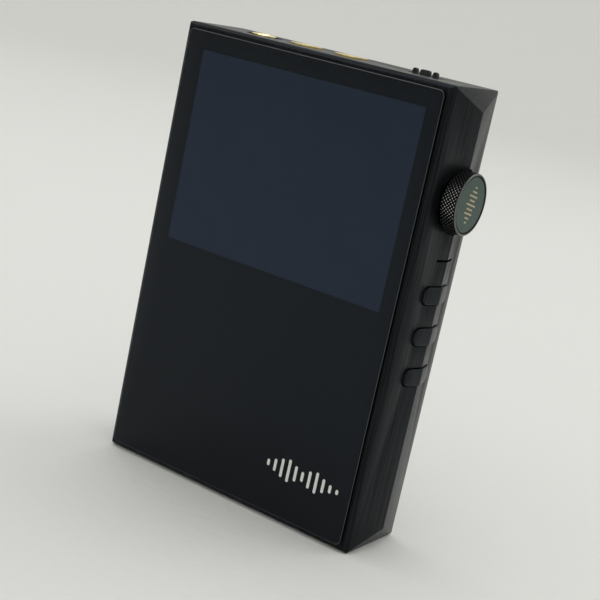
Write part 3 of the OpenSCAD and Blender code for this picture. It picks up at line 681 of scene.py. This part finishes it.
class PLAYER_OT_knob(bpy.types.Operator):
    """Make the knurled volume knob, its inlay and the mark on it"""

    bl_idname = "player.knob"
    bl_label = "Volume knob"

    def execute(self, context):
        settings = context.scene.player_knob
        radius = (KNOB_HIGH.y - KNOB_LOW.y) / 2
        height = KNOB_HIGH.x - KNOB_LOW.x
        black = grained(
            "knurled_black_anodised_aluminium", settings.colour, metallic=1.0,
            roughness=0.35, size=0.15 * MM,
        )
        # painted highlight: a light metal on the knurl's tips stands in for the glints they catch; their own
        # reflections add to it
        bright = turned_metal(
            "knurl_tip_painted_highlight", shade(settings.tip_highlight_colour, 0.85),
            shade(settings.tip_highlight_colour, 1.15), 0.25, KNOB_CENTRE, "X", 0.08 * MM,
        )
        # painted highlight: the lighter grey on the lip's outer rim and chamfer
        rim_glint = turned_metal(
            "knob_lip_painted_highlight", shade(settings.rim_highlight_colour, 0.85),
            shade(settings.rim_highlight_colour, 1.15), 0.3, KNOB_CENTRE, "X", 0.08 * MM,
        )
        mesh = self.cap(radius, height, settings)
        finish_piece(
            mesh, "knob_cap", [black, bright, rim_glint], "knob", ["volume_knob"],
            smooth_angle=20.0,
        )
        self.make_inlay(settings)
        return {"FINISHED"}

    def cap(self, radius, height, settings):
        """The turned core, with the lip's outer rim painted lighter as a painted highlight, and the knurled sleeve
        round it.
        """
        lip, recess, hollow, bore = 0.6 * MM, 0.5 * MM, 5.5 * MM, 3.02 * MM
        chamfer, shine, break_edge = 0.18 * MM, 0.36 * MM, 0.06 * MM
        root = radius - settings.knurl_depth
        core, band = root - 0.05 * MM, height - 0.5 * MM
        web = height - recess - 1.5 * MM
        knurl_start, overlap = 0.25 * MM, 0.02 * MM
        mesh = bmesh.new()
        faces = lathe(mesh, [
            (hollow, 0), (core, 0), (core, band), (radius - chamfer, band),
            (radius, band + chamfer), (radius, height - chamfer),
            (radius - chamfer, height), (radius - shine, height),
            (radius - lip + break_edge, height), (radius - lip, height - break_edge),
            (radius - lip, height - recess), (bore, height - recess), (bore, web),
            (hollow, web),
        ], 128)
        bmesh.ops.recalc_face_normals(mesh, faces=mesh.faces)
        for face in faces:
            middle = face.calc_center_median()
            outside = math.hypot(middle.x, middle.y) > radius - shine
            # painted highlight: the rim and chamfer of the top get the lighter lip metal
            face.material_index = 2 if outside and middle.z > height - chamfer else 0
        self.knurl(mesh, root, settings, knurl_start, band, core + overlap)
        turn_to_knob(mesh)
        return mesh

    def knurl(self, mesh, root, settings, low, high, inner):
        """A sleeve of raised diamonds whose flat tips are painted light as a painted highlight,
        cut square at both ends and closed inside."""
        count = settings.knurls
        half = math.pi / count
        tall = root * half
        sleeve = bmesh.new()
        for row in range(int((high - low) / tall) + 3):
            made = bmesh.ops.create_cone(
                sleeve, cap_ends=True, segments=4, radius1=1.0, radius2=settings.tip_share,
                depth=1.0,
            )["verts"]
            doomed = [f for f in sleeve.faces if all(v.co.z == -0.5 for v in f.verts)]
            bmesh.ops.delete(sleeve, geom=doomed, context="FACES_ONLY")
            tips = [f for f in sleeve.faces if all(v.co.z == 0.5 for v in f.verts)]
            # painted highlight: the flat tips get the light tip metal, standing in for the glints they catch
            for face in tips:
                face.material_index = 1
            turn = (row % 2) * half
            for vert in made:
                reach = root + (settings.knurl_depth if vert.co.z > 0 else 0.0)
                angle = turn + vert.co.x * half
                level = low + (row - 0.5 + vert.co.y) * tall
                vert.co = (reach * math.cos(angle), reach * math.sin(angle), level)
        bmesh.ops.remove_doubles(sleeve, verts=sleeve.verts, dist=0.001 * MM)
        bmesh.ops.spin(
            sleeve, geom=list(sleeve.verts) + list(sleeve.edges) + list(sleeve.faces),
            cent=(0, 0, 0), axis=(0, 0, 1), dvec=(0, 0, 0),
            angle=2 * math.pi * (count - 1) / count, steps=count - 1, use_duplicate=True,
        )
        bmesh.ops.remove_doubles(sleeve, verts=sleeve.verts, dist=0.002 * MM)
        for height, up in ((high, 1), (low, -1)):
            bmesh.ops.bisect_plane(
                sleeve, geom=list(sleeve.verts) + list(sleeve.edges) + list(sleeve.faces),
                plane_co=(0, 0, height), plane_no=(0, 0, up), clear_outer=True,
            )
        self.close_inside(sleeve, inner)
        bmesh.ops.recalc_face_normals(sleeve, faces=sleeve.faces)
        joined = bpy.data.meshes.new("knurl_sleeve")
        sleeve.to_mesh(joined)
        sleeve.free()
        mesh.from_mesh(joined)
        bpy.data.meshes.remove(joined)

    def close_inside(self, sleeve, inner):
        """Turns the sleeve's two open ends inwards and joins them."""
        open_edges = [e for e in sleeve.edges if len(e.link_faces) == 1]
        made = bmesh.ops.extrude_edge_only(sleeve, edges=open_edges)["geom"]
        for vert in (v for v in made if isinstance(v, bmesh.types.BMVert)):
            reach = math.hypot(vert.co.x, vert.co.y)
            vert.co.x, vert.co.y = vert.co.x * inner / reach, vert.co.y * inner / reach
        loops = [
            e for e in made if isinstance(e, bmesh.types.BMEdge) and len(e.link_faces) == 1
        ]
        bmesh.ops.bridge_loops(sleeve, edges=loops)

    def make_inlay(self, settings):
        """The green disc in the knob's face, and a gilt row of level bars on it."""
        overfill, soft = 0.15 * MM, 0.12 * MM
        radius = (INLAY_HIGH.y - INLAY_LOW.y) / 2 + overfill
        base = INLAY_LOW.x - KNOB_LOW.x
        top = INLAY_HIGH.x - KNOB_LOW.x
        mesh = bmesh.new()
        lathe(mesh, [
            (AXIS, base), (radius, base), (radius, top - soft),
            (radius - soft * 0.3, top - soft * 0.3), (radius - soft, top), (AXIS, top),
        ], 96)
        bmesh.ops.remove_doubles(mesh, verts=mesh.verts, dist=POLE_MERGE)
        axle = [edge for edge in mesh.edges if not edge.link_faces]
        bmesh.ops.delete(mesh, geom=axle, context="EDGES")
        bmesh.ops.recalc_face_normals(mesh, faces=mesh.faces)
        turn_to_knob(mesh)
        green = turned_metal(
            "green_anodised_aluminium", shade(settings.inlay_colour, 0.85),
            shade(settings.inlay_colour, 1.15), 0.3, KNOB_CENTRE, "X", 0.1 * MM,
        )
        finish_piece(
            mesh, "inlay_disc", [green], "knob", ["knob_inlay"],
            smooth_angle=20.0,
        )
        heights = [h * MM for h in (1.0, 2.4, 4.0, 2.6, 4.6, 3.0, 3.8, 2.0, 1.0)]
        mark = level_bars(heights, pitch=1.0 * MM, width=0.34 * MM)
        sunk, thickness, tilt = 0.01 * MM, 0.05 * MM, math.radians(-12)
        lift = Matrix.Translation((0, 0, top - sunk))
        flat = Matrix.Rotation(math.pi / 2, 4, "X") @ Matrix.Diagonal((1, thickness, 1, 1))
        spin = Matrix.Rotation(tilt, 4, "Z")
        bmesh.ops.transform(mark, matrix=lift @ spin @ flat, verts=mark.verts)
        bmesh.ops.recalc_face_normals(mark, faces=mark.faces)
        turn_to_knob(mark)
        foil = grained(
            "pale_gilt_foil", settings.mark_colour, metallic=1.0, roughness=0.35,
            size=0.1 * MM,
        )
        finish_piece(mark, "volume_mark", [foil], "knob")


class PLAYER_OT_keys(bpy.types.Operator):
    """Make the three brushed keys with softened edges"""

    bl_idname = "player.keys"
    bl_label = "Keys"

    def execute(self, context):
        settings = context.scene.player_case
        metal = brushed_anodised_aluminium(
            "anodised_key_aluminium", shade(settings.colour, 1.25), settings.line_width,
            settings.line_length,
        )
        for node, body in KEYS.items():
            mesh = merged_copy(node)
            soften(mesh, width=0.2 * MM, segments=3)
            finish_piece(mesh, node + "_cap", [metal], body, [node])
        return {"FINISHED"}


class PLAYER_OT_slide_switch(bpy.types.Operator):
    """Make the blasted slide switch with softened edges"""

    bl_idname = "player.slide_switch"
    bl_label = "Slide switch"

    def execute(self, context):
        settings = context.scene.player_case
        metal = grained(
            "blasted_black_aluminium", settings.slide_colour, metallic=1.0, roughness=0.4,
            size=0.12 * MM,
        )
        mesh = merged_copy("slide_button")
        soften(mesh, width=0.3 * MM, segments=4)
        finish_piece(
            mesh, "slide_cap", [metal], "slide_switch", ["slide_button"]
        )
        return {"FINISHED"}


class PLAYER_OT_jack_rings(bpy.types.Operator):
    """Give the three rings round the jack holes their gilt finish"""

    bl_idname = "player.jack_rings"
    bl_label = "Jack rings"

    def execute(self, context):
        for node in JACKS:
            low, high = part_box(node)
            centre = (low + high) / 2
            metal = turned_metal(
                "gilt_" + node, dark=hex_colour("#fbdf8c"), light=hex_colour("#fff4cc"),
                roughness=0.15, centre=centre, direction="Z", pitch=0.12 * MM,
            )
            frame["nodes"][node].data.materials.clear()
            frame["nodes"][node].data.materials.append(metal)
        return {"FINISHED"}


class PLAYER_OT_back_panel(bpy.types.Operator):
    """Make the black back panel"""

    bl_idname = "player.back_panel"
    bl_label = "Back panel"

    def execute(self, context):
        settings = context.scene.player_glass
        low, high = Vector(BACK_LOW), Vector(BACK_HIGH)
        # made facing the front, then mirrored to the back
        mesh = rounded_plate(
            (low.x, -high.y, low.z), (high.x, -low.y, high.z), settings.corner_radius,
            edge=0.2 * MM,
        )
        bmesh.ops.mirror(
            mesh, geom=list(mesh.verts) + list(mesh.edges) + list(mesh.faces),
            matrix=Matrix.Identity(4), axis="Y", merge_dist=-1.0,
        )
        doomed = [v for v in mesh.verts if v.co.y < 0]
        bmesh.ops.delete(mesh, geom=doomed, context="VERTS")
        bmesh.ops.recalc_face_normals(mesh, faces=mesh.faces)
        glass = grained(
            "etched_black_glass", hex_colour("#0d0f12"), metallic=0.0, roughness=0.22,
            size=0.5 * MM, variation=0.3,
        )
        finish_piece(mesh, "back_glass", [glass], "case", ["back_panel"])
        return {"FINISHED"}


class PLAYER_OT_inner_pieces(bpy.types.Operator):
    """Give every remaining piece the finish of its own material"""

    bl_idname = "player.inner_pieces"
    bl_label = "Inner pieces"

    def execute(self, context):
        done = {
            "case", "front_glass", "gilt", "slide_button", "knob", "knob_inlay", "keys",
            "back_panel",
        }
        finishes = {}
        for entry in frame["record"]["subparts"]:
            slot = entry["material_slot"]
            if slot in done:
                continue
            if slot not in finishes:
                finishes[slot] = inner_material(slot)
            data = frame["nodes"][entry["node"]].data
            data.materials.clear()
            data.materials.append(finishes[slot])
        return {"FINISHED"}


class PLAYER_OT_stage(bpy.types.Operator):
    """Set the pale floor, the soft light and the camera"""

    bl_idname = "player.stage"
    bl_label = "Stage"

    def execute(self, context):
        settings = context.scene.player_stage
        self.make_sweep(settings)
        self.make_lights(context)
        self.make_camera(context, settings)
        context.scene.view_settings.view_transform = "Standard"
        return {"FINISHED"}

    def make_sweep(self, settings):
        """A round floor that curves up into a wall."""
        bend, wall, drop, steps = 0.5, 1.1, -0.2 * MM, 8
        reach = settings.floor_radius
        profile = [(AXIS, drop), (reach, drop)]
        for step in range(1, steps + 1):
            angle = step / steps * math.pi / 2
            profile.append(
                (reach + bend * math.sin(angle), drop + bend * (1 - math.cos(angle)))
            )
        profile.append((reach + bend, wall))
        mesh = bmesh.new()
        lathe(mesh, profile, 96, closed=False)
        bmesh.ops.remove_doubles(mesh, verts=mesh.verts, dist=POLE_MERGE)
        for face in mesh.faces:
            face.smooth = True
        data = bpy.data.meshes.new("studio_floor")
        mesh.to_mesh(data)
        mesh.free()
        data.materials.append(
            grained(
                "matt_paint", settings.floor_colour, metallic=0.0, roughness=0.85,
                size=3 * MM, variation=0.01,
            )
        )
        floor = bpy.data.objects.new("studio_floor", data)
        bpy.context.scene.collection.objects.link(floor)

    def make_lights(self, context):
        """An even sky and two large soft panels that face the middle of the player."""
        target = Vector((0, 0, 0.05))
        world = bpy.data.worlds.new("soft_sky")
        world.use_nodes = True
        sky = world.node_tree.nodes["Background"]
        sky.inputs["Color"].default_value = hex_colour("#f4f5f6")
        sky.inputs["Strength"].default_value = 0.81
        context.scene.world = world
        for name, place, size, power in (
            ("top_panel_light", (-0.25, 0.1, 1.2), 0.9, 2.4),
            ("back_panel_light", (0.6, 0.8, 0.8), 0.9, 1.6),
        ):
            light = bpy.data.lights.new(name, "AREA")
            light.shape, light.size, light.energy = "DISK", size, power
            lamp = bpy.data.objects.new(name, light)
            lamp.location = place
            lamp.rotation_mode = "QUATERNION"
            lamp.rotation_quaternion = (target - Vector(place)).to_track_quat("-Z", "Y")
            context.scene.collection.objects.link(lamp)

    def make_camera(self, context, settings):
        """The camera looks at its aim and is rolled round its own axis."""
        data = bpy.data.cameras.new("camera")
        data.lens, data.sensor_width = settings.focal_length, 36.0
        data.clip_start, data.clip_end = 0.02, 20.0
        camera = bpy.data.objects.new("camera", data)
        place, aim = Vector(settings.camera_place), Vector(settings.camera_aim)
        look = (aim - place).to_track_quat("-Z", "Y")
        camera.rotation_mode = "QUATERNION"
        camera.rotation_quaternion = look @ Matrix.Rotation(
            -settings.camera_roll, 4, "Z"
        ).to_quaternion()
        camera.location = place
        context.scene.collection.objects.link(camera)
        context.scene.camera = camera


class PLAYER_PT_panel(bpy.types.Panel):
    """Lists the player's pieces and settings"""

    bl_idname = "PLAYER_PT_panel"
    bl_label = "Audio player"
    bl_space_type = "VIEW_3D"
    bl_region_type = "UI"
    bl_category = "Player"

    def draw(self, context):
        layout = self.layout
        for operator in OPERATORS:
            layout.operator(operator.bl_idname)
        for name, group in SETTINGS.items():
            box = layout.box()
            for field in group.__annotations__:
                box.prop(getattr(context.scene, name), field)


SETTINGS = {
    "player_case": PlayerCaseSettings,
    "player_glass": PlayerGlassSettings,
    "player_knob": PlayerKnobSettings,
    "player_stage": PlayerStageSettings,
}
OPERATORS = (
    PLAYER_OT_stage,
    PLAYER_OT_case,
    PLAYER_OT_front,
    PLAYER_OT_level_mark,
    PLAYER_OT_knob,
    PLAYER_OT_keys,
    PLAYER_OT_slide_switch,
    PLAYER_OT_jack_rings,
    PLAYER_OT_back_panel,
    PLAYER_OT_inner_pieces,
)


def register():
    """Registers the classes and gives the scene its settings."""
    for group in SETTINGS.values():
        bpy.utils.register_class(group)
    for name, group in SETTINGS.items():
        setattr(bpy.types.Scene, name, bpy.props.PointerProperty(type=group))
    for operator in OPERATORS:
        bpy.utils.register_class(operator)
    bpy.utils.register_class(PLAYER_PT_panel)


def unregister():
    """Takes back everything that register() added."""
    bpy.utils.unregister_class(PLAYER_PT_panel)
    for operator in reversed(OPERATORS):
        bpy.utils.unregister_class(operator)
    for name, group in SETTINGS.items():
        delattr(bpy.types.Scene, name)
        bpy.utils.unregister_class(group)


def main():
    """Makes everything in order."""
    register()
    for operator in OPERATORS:
        group, name = operator.bl_idname.split(".")
        getattr(getattr(bpy.ops, group), name)()


if __name__ == "__main__":
    main()
